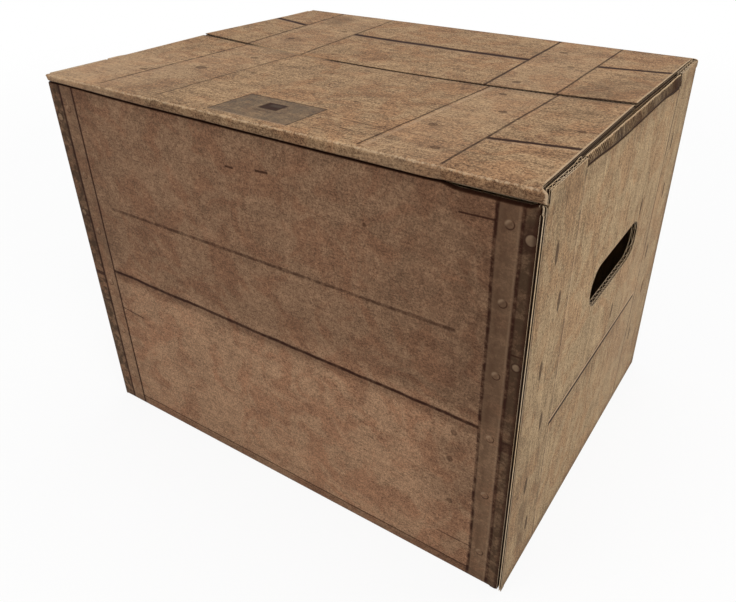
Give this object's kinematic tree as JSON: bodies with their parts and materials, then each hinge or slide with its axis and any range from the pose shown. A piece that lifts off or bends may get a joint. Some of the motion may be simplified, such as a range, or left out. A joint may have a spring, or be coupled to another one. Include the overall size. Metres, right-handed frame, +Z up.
{
  "type": "corrugated cardboard box",
  "caption": "Double-wall corrugated carton printed like an old plank crate, with hinged top flaps, folded end flaps and a hand hole in each end.",
  "frame": {"origin": "middle of the base, on the floor", "axes": "+X along the front towards the end with the glued corner, +Y from front to back, +Z up"},
  "size_m": [0.4, 0.3168, 0.3073],
  "materials": {
    "printed_board": "matte printed kraft board",
    "printed_board_top": "matte printed kraft board",
    "raw_kraft": "unprinted kraft liner and cut edges"
  },
  "bodies": {
    "carton": {"carton": "printed_board"},
    "front_flap": {"front_flap": "printed_board_top"},
    "back_flap": {"back_flap": "printed_board_top"}
  },
  "joints": [
    {"name": "front_flap_fold", "type": "hinge", "parent": "carton", "child": "front_flap", "pos_m": [0, -0.154, 0.301], "axis": [1, 0, 0], "range_deg": [0, 180]},
    {"name": "back_flap_fold", "type": "hinge", "parent": "carton", "child": "back_flap", "pos_m": [0, 0.154, 0.301], "axis": [-1, 0, 0], "range_deg": [0, 180]}
  ]
}
